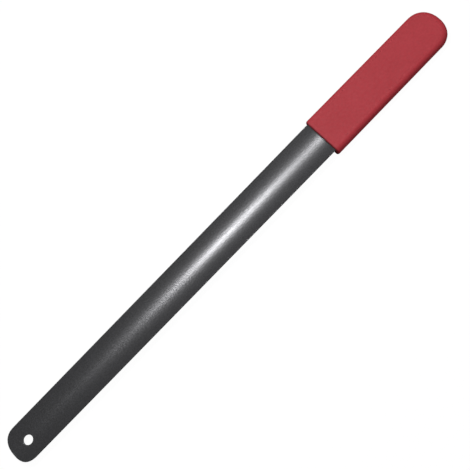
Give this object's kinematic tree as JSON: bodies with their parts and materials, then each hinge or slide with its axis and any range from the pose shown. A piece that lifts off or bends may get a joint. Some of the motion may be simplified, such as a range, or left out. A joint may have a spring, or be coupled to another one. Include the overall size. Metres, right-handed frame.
{
  "type": "long-handled shoehorn",
  "caption": "Long steel shoehorn: a narrow strip pressed to a shallow trough, with a hanging hole at one round end and a flat red vinyl sleeve as the grip at the other.",
  "frame": {"origin": "on the plane of the grip's flat back, under the middle of the overall length and width", "axes": "+X along the strip from the hanging hole to the grip's closed end, +Y across it, +Z out of the hollow side of the trough"},
  "size_m": [0.61, 0.05, 0.01],
  "materials": {
    "hammered_grey_paint": "satin",
    "red_vinyl": "matte"
  },
  "bodies": {
    "root": {"blade": "hammered_grey_paint", "grip_sleeve": "red_vinyl"}
  },
  "joints": []
}
